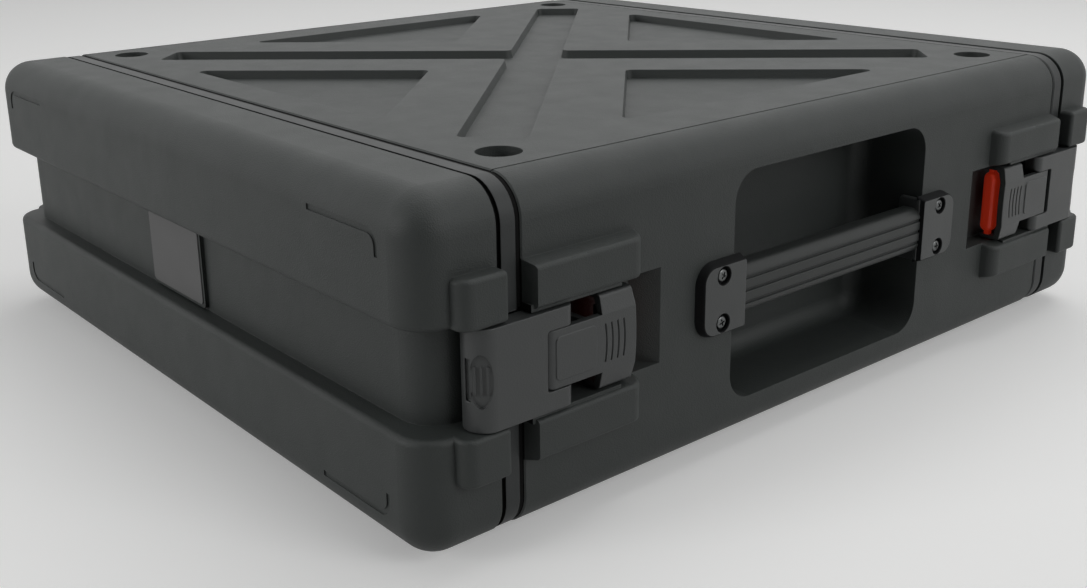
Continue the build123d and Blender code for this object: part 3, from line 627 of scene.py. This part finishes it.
@dataclass
class PanScrews:
    """A set of pan-head screws with a cross recess in each crown."""

    name: str
    node: str
    body: str
    seats: list[tuple[Vector, Vector]]
    shank_radius: float
    shank_length: float
    head_radius: float
    head_height: float
    cross_width: float = 0.0012
    cross_share: float = 0.62
    cross_depth: float = 0.0013
    cross_draft: float = 0.8
    crown_share: float = 0.3
    rings: int = 6
    bends: int = 3
    thread_turns: int = 8
    root_share: float = 0.84
    tip_share: float = 0.5
    first_turn: float = 17.0
    next_turn: float = 41.0

    def build(self) -> bpy.types.Object:
        """Build the set in place of its plain solids.

        Returns:
            The piece.
        """
        work = bmesh.new()
        for turn, (seat, outward) in enumerate(self.seats):
            self.one(work, seat, outward, math.radians(self.first_turn + self.next_turn * turn))
        piece = mesh_piece(self.name, work, SCREW_STEEL, 40.0)
        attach(piece, self.body)
        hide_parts(self.node)
        return piece

    def one(self, work: bmesh.types.BMesh, seat: Vector, outward: Vector, turn: float) -> None:
        """Add one screw.

        Args:
            work: the mesh to add to.
            seat: middle of the plane that the head rests on.
            outward: direction the head faces.
            turn: how far the cross is turned.
        """
        upright = outward.to_track_quat("Z", "Y").to_matrix().to_4x4()
        place = Matrix.Translation(seat) @ upright @ Matrix.Rotation(turn, 4, "Z")
        floor = self.head_height - self.cross_depth
        foot = [(self.cross_reach(angle) * self.cross_draft, floor) for angle in self.spokes]
        rows = [self.ring(work, place, foot)]
        for index in range(self.rings + 1):
            crown = [self.crown_point(angle, index / self.rings) for angle in self.spokes]
            rows.append(self.ring(work, place, crown))
        for radius, height in self.lower_profile():
            rows.append(self.ring(work, place, [(radius, height)] * len(self.spokes)))
        loft(work, rows)
        middle = work.verts.new(place @ Vector((0.0, 0.0, floor)))
        for step, point in enumerate(rows[0]):
            work.faces.new((middle, point, rows[0][(step + 1) % len(rows[0])]))
        work.faces.new(rows[-1])

    @property
    def spokes(self) -> list[float]:
        """Angles of the head's points, with one at each corner of the cross."""
        corner = math.atan(self.cross_width / 2 / (self.cross_share * self.head_radius))
        inner = math.pi / 4
        bends = [corner + (inner - corner) * step / self.bends for step in range(self.bends + 1)]
        quarter = [0.0, *bends, *[math.pi / 2 - bend for bend in reversed(bends[:-1])]]
        return [angle + turn * math.pi / 2 for turn in range(4) for angle in quarter]

    def cross_reach(self, angle: float) -> float:
        """Find how far the cross reaches from the screw's middle.

        Args:
            angle: the direction, in radians.

        Returns:
            The reach.
        """
        lean = abs((angle + math.pi / 4) % (math.pi / 2) - math.pi / 4)
        reach = self.cross_share * self.head_radius / math.cos(lean)
        return min(reach, self.cross_width / 2 / math.sin(lean)) if lean > 0.001 else reach

    def crown_point(self, angle: float, share: float) -> tuple[float, float]:
        """Radius and height of a point of the domed crown.

        Args:
            angle: where the point lies round the head.
            share: 0 at the cross and 1 at the head's rim.

        Returns:
            The point's radius and height.
        """
        start = self.cross_reach(angle)
        radius = start + (self.head_radius - start) * share
        dome = math.sqrt(max(0.0, 1.0 - (radius / self.head_radius) ** 2))
        return radius, self.head_height * (1.0 - self.crown_share + self.crown_share * dome)

    def lower_profile(self) -> list[tuple[float, float]]:
        """Radius and height pairs of the head's rim and the threaded shank."""
        pitch = self.shank_length / self.thread_turns
        profile = [(self.head_radius, 0.0), (self.shank_radius, 0.0)]
        for turn in range(self.thread_turns):
            profile.append((self.shank_radius * self.root_share, -pitch * (turn + 0.5)))
            profile.append((self.shank_radius, -pitch * (turn + 0.75)))
        profile.append((self.shank_radius * self.tip_share, -self.shank_length))
        return profile

    def ring(
        self, work: bmesh.types.BMesh, place: Matrix, pairs: list[tuple[float, float]],
    ) -> list[bmesh.types.BMVert]:
        """Add one ring of points.

        Args:
            work: the mesh to add to.
            place: where the screw stands.
            pairs: each point's radius and height, in the order of the spokes.

        Returns:
            The ring's points.
        """
        return [
            work.verts.new(place @ Vector((radius * math.cos(angle), radius * math.sin(angle), height)))
            for angle, (radius, height) in zip(self.spokes, pairs)
        ]


@dataclass
class EndCap:
    """An end cap of a handle: a dark-sided plate on the sleeve, with a block that holds the bar."""

    end: End
    side: Side
    stand: float = 0.0055
    base_round: float = 0.013
    face_round: float = 0.0085
    side_draft: float = 0.0017
    edge: float = 0.0009
    inner_round: float = 0.0012
    bore: float = 0.0053
    bore_depth: float = 0.003
    screw_setback: float = 0.0178
    screw_pitch: float = 0.028
    block_depth: float = 0.0135
    block_length: float = 0.0046
    block_inset: float = 0.0015
    block_round: float = 0.0012
    block_sink: float = 0.6
    block_bends: int = 3
    bends: int = 8
    spokes: int = 40
    roll: tuple[tuple[float, float, float], ...] = ((1.6, 0.0, 0.6), (0.5, 0.4, 0.3), (0.0, 1.0, 0.0))
    outer: float = field(init=False)
    inner: float = field(init=False)
    face: float = field(init=False)
    middle: float = field(init=False)
    half: float = field(init=False)

    def __post_init__(self) -> None:
        """Take the cap's reach from its plain solid."""
        low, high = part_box(self.source)
        self.outer = max(abs(low.y), abs(high.y))
        self.inner = min(abs(low.y), abs(high.y))
        self.face = max(abs(low.x), abs(high.x))
        self.middle = (low.z + high.z) / 2
        self.half = (high.z - low.z) / 2

    @property
    def source(self) -> str:
        """Name of the plain solid that the cap stands for."""
        return f"handle_cap_{self.end.word}_{self.side.word}"

    def build(self) -> bpy.types.Object:
        """Build the cap in place of its plain solid.

        Returns:
            The piece.
        """
        work = bmesh.new()
        rows = [self.plate_row(work, -self.stand, 0.0, self.base_round)]
        for depth, inset, spare in self.roll:
            rows.append(self.plate_row(
                work,
                -self.edge * depth,
                self.side_draft + self.edge * inset,
                self.face_round + self.edge * spare,
            ))
        loft(work, rows)
        work.faces.new(rows[0])
        rims = [self.bore_wall(work, sign) for sign in (-1, 1)]
        walls = list(work.faces)
        borders = [rows[-1], *rims]
        edges = [
            work.edges.get((border[index - 1], border[index]))
            for border in borders
            for index in range(len(border))
        ]
        bmesh.ops.triangle_fill(work, use_beauty=True, edges=edges)
        self.block(work)
        for wall in walls:
            wall.material_index = 1
        piece = mesh_piece(f"end_cap_{self.end.word}_{self.side.word}", work, TRIM, 32.0)
        piece.data.materials.append(CAP_SIDE.material())
        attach(piece, "case")
        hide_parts(self.source)
        return piece

    def point(self, depth: float, along: float, height: float) -> Vector:
        """A point of the cap.

        Args:
            depth: height over the cap's face, negative inward.
            along: distance from the sleeve's middle along Y.
            height: distance from the cap's middle along Z.

        Returns:
            The point in the frame.
        """
        out = self.side.value * (self.face + depth)
        return Vector((out, self.end.value * along, self.middle + height))

    def plate_row(
        self, work: bmesh.types.BMesh, depth: float, inset: float, radius: float,
    ) -> list[bmesh.types.BMVert]:
        """Add the plate's outline at one depth, round at its outer corners.

        Args:
            work: the mesh to add to.
            depth: height over the cap's face.
            inset: how far the outline lies inside the base.
            radius: radius of the two outer corners.

        Returns:
            The outline's points.
        """
        near = self.inner + min(inset, self.edge)
        far = self.outer - inset
        outline = rounded_outline(near, far, self.half - inset, radius, self.inner_round, self.bends)
        return [work.verts.new(self.point(depth, along, height)) for along, height in outline]

    def bore_wall(self, work: bmesh.types.BMesh, sign: int) -> list[bmesh.types.BMVert]:
        """Add one screw's counterbore.

        Args:
            work: the mesh to add to.
            sign: 1 for the upper screw and -1 for the lower one.

        Returns:
            The bore's points on the cap's face.
        """
        along = self.outer - self.screw_setback
        up = sign * self.screw_pitch / 2
        turns = [FULL_TURN * step / self.spokes for step in range(self.spokes)]
        bevel = self.edge / 2
        steps = ((0.0, self.bore + bevel), (-bevel, self.bore), (-self.bore_depth, self.bore))
        rows = []
        for depth, radius in steps:
            places = [(along + radius * math.cos(turn), up + radius * math.sin(turn)) for turn in turns]
            rows.append([work.verts.new(self.point(depth, *place)) for place in places])
        loft(work, rows)
        work.faces.new(rows[-1])
        return rows[0]

    def block(self, work: bmesh.types.BMesh) -> None:
        """Add the block that drops into the recess and holds the bar.

        Args:
            work: the mesh to add to.
        """
        half = self.half - self.block_inset
        foot = -self.stand - self.block_depth
        steps = (
            (-self.stand * self.block_sink, 0.0),
            (foot + self.block_round, 0.0),
            (foot, self.block_round),
        )
        rows = []
        for depth, inset in steps:
            near, far = self.inner + inset, self.inner + self.block_length - inset
            outline = rounded_outline(
                near, far, half - inset, self.block_round, self.block_round, self.block_bends,
            )
            rows.append([work.verts.new(self.point(depth, along, height)) for along, height in outline])
        loft(work, rows)
        work.faces.new(rows[0])
        work.faces.new(rows[-1])


@dataclass
class Sleeve:
    """The moulded sleeve with its feet and rack rails."""

    foot_head: tuple[float, float, float] = (0.004, 0.0024, 0.002)
    rail_head: tuple[float, float, float] = (0.0046, 0.0026, 0.0025)
    rail_screw_length: float = 0.013
    end_reach: float = 0.0002

    def dress(self) -> None:
        """Put the finishes on the sleeve, its feet and its rails."""
        dress("sleeve", SHELL)
        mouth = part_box("sleeve")[1].y
        # The sleeve's end faces get painted shade for the seam behind each cover.
        paint_seam_shade(node("sleeve").data, mouth - self.end_reach, mouth + self.end_reach)
        dress("feet", RUBBER_AND_SEAM_SHADE)
        for end, side in CORNERS:
            dress(f"rail_{end.word}_{side.word}", BLACK_STEEL)

    def foot_screws(self) -> bpy.types.Object:
        """Build the screws that hold the feet.

        Returns:
            The piece.
        """
        low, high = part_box("foot_screws")
        head_radius, head_height, shank_radius = self.foot_head
        seat = low.z + head_height
        seats = [
            (
                Vector((side.value * (high.x - head_radius), end.value * (high.y - head_radius), seat)),
                Vector((0, 0, -1)),
            )
            for end, side in CORNERS
        ]
        return PanScrews(
            "foot_screw_set", "foot_screws", "case", seats, shank_radius, high.z - seat, head_radius,
            head_height,
        ).build()

    def rail_screws(self) -> bpy.types.Object:
        """Build the screws that hold the rails to the sleeve's pads.

        Returns:
            The piece.
        """
        low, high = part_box("rail_screws")
        head_radius, head_height, shank_radius = self.rail_head
        seats = [
            (
                Vector((
                    side.value * (high.x - self.rail_screw_length),
                    end.value * (high.y - head_radius),
                    height,
                )),
                Vector((-side.value, 0, 0)),
            )
            for end, side in CORNERS
            for height in (low.z + head_radius, high.z - head_radius)
        ]
        return PanScrews(
            "rail_screw_set", "rail_screws", "case", seats, shank_radius, self.rail_screw_length,
            head_radius, head_height,
        ).build()


@dataclass
class Handles:
    """The two bar handles and the screws of their end caps.

    The heads are drawn a little smaller than the solids', so that a dark ring shows round each.
    """

    head: tuple[float, float, float] = (0.0043, 0.0024, 0.002)
    head_shown: float = 0.0035
    screw_length: float = 0.013

    def dress(self) -> None:
        """Put the finishes on the grips and cores."""
        for side in Side:
            dress(f"handle_grip_{side.word}", GRIP)
            dress(f"handle_core_{side.word}", ZINC)

    def screws(self) -> bpy.types.Object:
        """Build the cap screws.

        Returns:
            The piece.
        """
        low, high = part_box("handle_screws")
        head_radius, head_height, shank_radius = self.head
        seats = [
            (
                Vector((
                    side.value * (high.x - head_height),
                    end.value * (high.y - head_radius),
                    height,
                )),
                Vector((side.value, 0, 0)),
            )
            for end, side in CORNERS
            for height in (low.z + head_radius, high.z - head_radius)
        ]
        return PanScrews(
            "handle_screw_set", "handle_screws", "case", seats, shank_radius, self.screw_length,
            self.head_shown, head_height,
        ).build()


@dataclass
class Covers:
    """The two lift-off covers with their rims, gaskets and the bare badge."""

    badge: str = "front_badge"
    slim_groove: float = 0.0009
    full_groove: float = 0.003
    reach: float = 0.00005
    rim_width: float = 0.0127
    seam_reach: float = 0.0002

    def dress(self) -> None:
        """Put the finishes on both covers."""
        for end in End:
            dress(f"{end.word}_cover_shell", SHELL)
            dress(f"{end.word}_cover_gasket", RUBBER_AND_SEAM_SHADE)
        dress(self.badge, BADGE)

    def rim(self, end: End) -> bpy.types.Object:
        """Build a rim whose groove behind the cover's shell has its full width.

        Args:
            end: the end of the sleeve that the cover closes.

        Returns:
            The piece.
        """
        source = f"{end.word}_cover_rim"
        joint = min(abs(corner.y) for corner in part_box(f"{end.word}_cover_shell"))
        work = bmesh.new()
        work.from_mesh(node(source).data)
        for point in work.verts:
            if abs(abs(point.co.y) - (joint - self.slim_groove)) < self.reach:
                point.co.y = end.value * (joint - self.full_groove)
        piece = mesh_piece(f"{end.word}_rim_frame", work, RIM, 28.0)
        seam = joint - self.rim_width
        # The groove's faces and the rim's seam get painted shade.
        paint_seam_shade(piece.data, joint - self.full_groove - self.reach, joint + self.reach, 0.0)
        paint_seam_shade(piece.data, seam - self.seam_reach, seam + self.seam_reach)
        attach(piece, f"{end.word}_cover")
        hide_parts(source)
        return piece


@dataclass
class Latches:
    """The four trigger latches with their pins, keepers, release bars and springs."""

    wire_radius: float = 0.00036
    turns: float = 7.0
    sides: int = 8
    steps: int = 20

    def dress(self) -> None:
        """Put the finishes on the arms, triggers, release bars and pins."""
        for end, side in CORNERS:
            corner = f"{end.word}_{side.word}"
            for part in ("latch_arm", "latch_trigger"):
                dress(f"{part}_{corner}", TRIM)
            dress(f"latch_release_{corner}", RED)
            for part in ("latch_arm_pin", "latch_trigger_pin", "latch_keeper"):
                dress(f"{part}_{corner}", ZINC)

    def spring(self, end: End, side: Side) -> bpy.types.Object:
        """Build one coil spring in place of its plain tube.

        Args:
            end: the end of the sleeve that the latch holds.
            side: the side of the sleeve that the latch is on.

        Returns:
            The piece.
        """
        corner = f"{end.word}_{side.word}"
        low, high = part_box(f"latch_spring_{corner}")
        middle_x, middle_z = (low.x + high.x) / 2, (low.z + high.z) / 2
        coil_radius = (high.z - low.z) / 2 - self.wire_radius
        length = high.y - low.y - 2 * self.wire_radius
        count = int(self.turns * self.steps)
        work = bmesh.new()
        rows = []
        for index in range(count + 1):
            share = index / count
            angle = FULL_TURN * self.turns * share
            out = Vector((math.cos(angle), 0, math.sin(angle)))
            middle = out * coil_radius + Vector((0, self.wire_radius + length * share, 0))
            row = []
            for step in range(self.sides):
                around = FULL_TURN * step / self.sides
                lean = out * math.cos(around) + Vector((0, 1, 0)) * math.sin(around)
                point = middle + lean * self.wire_radius
                row.append(work.verts.new((middle_x + point.x, low.y + point.y, middle_z + point.z)))
            rows.append(row)
        loft(work, rows)
        work.faces.new(rows[0])
        work.faces.new(rows[-1])
        piece = mesh_piece(f"release_coil_{corner}", work, ZINC, 60.0)
        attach(piece, f"latch_trigger_{corner}")
        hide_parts(f"latch_spring_{corner}")
        return piece


@dataclass(frozen=True)
class Lamp:
    """A square soft lamp."""

    name: str
    place: Point
    aim: Point
    size: float
    power: float

    def hang(self) -> bpy.types.Object:
        """Hang the lamp in the scene.

        Returns:
            The lamp.
        """
        data = bpy.data.lights.new(self.name, "AREA")
        data.shape = "SQUARE"
        data.size = self.size
        data.energy = self.power
        lamp = bpy.data.objects.new(self.name, data)
        lamp.location = self.place
        lamp.rotation_euler = (Vector(self.aim) - Vector(self.place)).to_track_quat("-Z", "Y").to_euler()
        bpy.context.scene.collection.objects.link(lamp)
        return lamp


@dataclass
class Studio:
    """Camera, pale floor, soft lamps and white surroundings."""

    place: Point = (0.725156, -0.614877, 0.343525)
    right: Point = (0.632599, 0.774240, -0.019245)
    down: Point = (0.211212, -0.196373, -0.957511)
    forward: Point = (-0.745123, 0.601656, -0.287754)
    sensor: float = 36.0
    lens: float = 41.70
    shift: tuple[float, float] = (0.03283, -0.05962)
    sight: float = 50.0
    floor_half: float = 6.0
    world_level: float = 0.20
    card_distance: float = 2.2
    card_size: tuple[float, float] = (2.6, 1.9)
    lamps: tuple[Lamp, ...] = (
        Lamp("high_lamp", (-0.2, 0.8, 2.4), (0.0, 0.0, 0.1), 2.2, 19.0),
        Lamp("left_lamp", (-0.8, -3.7, 1.25), (0.0, -0.2, 0.1), 1.3, 30.0),
        Lamp("right_lamp", (3.4, 0.7, 1.9), (0.2, 0.0, 0.1), 1.8, 34.0),
    )

    def camera(self) -> bpy.types.Object:
        """Stand the camera where the picture is taken from.

        Returns:
            The camera.
        """
        data = bpy.data.cameras.new("view")
        data.sensor_width = self.sensor
        data.lens = self.lens
        data.shift_x, data.shift_y = self.shift
        data.clip_end = self.sight
        camera = bpy.data.objects.new("view", data)
        up = [-value for value in self.down]
        back = [-value for value in self.forward]
        axes = Matrix((self.right, up, back)).transposed()
        camera.matrix_world = Matrix.Translation(self.place) @ axes.to_4x4()
        bpy.context.scene.collection.objects.link(camera)
        bpy.context.scene.camera = camera
        return camera

    def floor(self) -> bpy.types.Object:
        """Lay the floor under the feet.

        Returns:
            The floor.
        """
        work = bmesh.new()
        bmesh.ops.create_grid(work, x_segments=2, y_segments=2, size=self.floor_half)
        floor = mesh_piece("studio_floor", work, FLOOR)
        return floor

    def card(self) -> bpy.types.Object:
        """Stand the black card beyond the camera, unseen by it.

        Returns:
            The card.
        """
        away = Vector((-self.forward[0], -self.forward[1], 0.0)).normalized()
        across = Vector((-away.y, away.x, 0.0))
        width, height = self.card_size
        foot = away * self.card_distance
        work = bmesh.new()
        points = [
            work.verts.new(foot + across * (side * width / 2) + Vector((0.0, 0.0, level)))
            for side, level in ((-1, 0.0), (1, 0.0), (1, height), (-1, height))
        ]
        work.faces.new(points)
        card = mesh_piece("studio_card", work, CARD)
        card.visible_camera = False
        return card

    def surroundings(self) -> None:
        """Make the surroundings white to the camera and in reflections, and plain as light."""
        world = bpy.data.worlds.new("surroundings")
        world.use_nodes = True
        bpy.context.scene.world = world
        tree = world.node_tree
        tree.nodes.clear()
        level = tree.nodes.new("ShaderNodeMapRange")
        level.inputs["To Min"].default_value = self.world_level
        level.inputs["To Max"].default_value = 1.0
        tree.links.new(shown_share(tree), level.inputs["Value"])
        light = tree.nodes.new("ShaderNodeBackground")
        light.inputs["Color"].default_value = (1.0, 1.0, 1.0, 1.0)
        tree.links.new(level.outputs["Result"], light.inputs["Strength"])
        output = tree.nodes.new("ShaderNodeOutputWorld")
        tree.links.new(light.outputs["Background"], output.inputs["Surface"])

    def build(self) -> None:
        """Set up the whole studio."""
        self.camera()
        self.floor()
        self.surroundings()
        self.card()
        for lamp in self.lamps:
            lamp.hang()
        bpy.context.scene.view_settings.view_transform = "Standard"


def corners(pair: tuple[Vector, Vector]) -> list[list[float]]:
    """Write two corners of a box as plain lists.

    Args:
        pair: the low and the high corner.

    Returns:
        The same corners, as lists of numbers.
    """
    return [[float(value) for value in corner] for corner in pair]


def main() -> None:
    """Build the studio and every sub-assembly, and report each piece."""
    logging.basicConfig(level=logging.INFO, format="%(message)s")
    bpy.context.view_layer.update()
    Studio().build()
    sleeve = Sleeve()
    sleeve.dress()
    log.info("sleeve dressed")
    for piece in (sleeve.foot_screws(), sleeve.rail_screws()):
        log.info("piece %s", piece.name)
    handles = Handles()
    handles.dress()
    log.info("piece %s", handles.screws().name)
    for end, side in CORNERS:
        log.info("piece %s", EndCap(end, side).build().name)
    covers = Covers()
    covers.dress()
    for end in End:
        log.info("piece %s", covers.rim(end).name)
    latches = Latches()
    latches.dress()
    for end, side in CORNERS:
        log.info("piece %s", latches.spring(end, side).name)


if __name__ == "__main__":
    main()
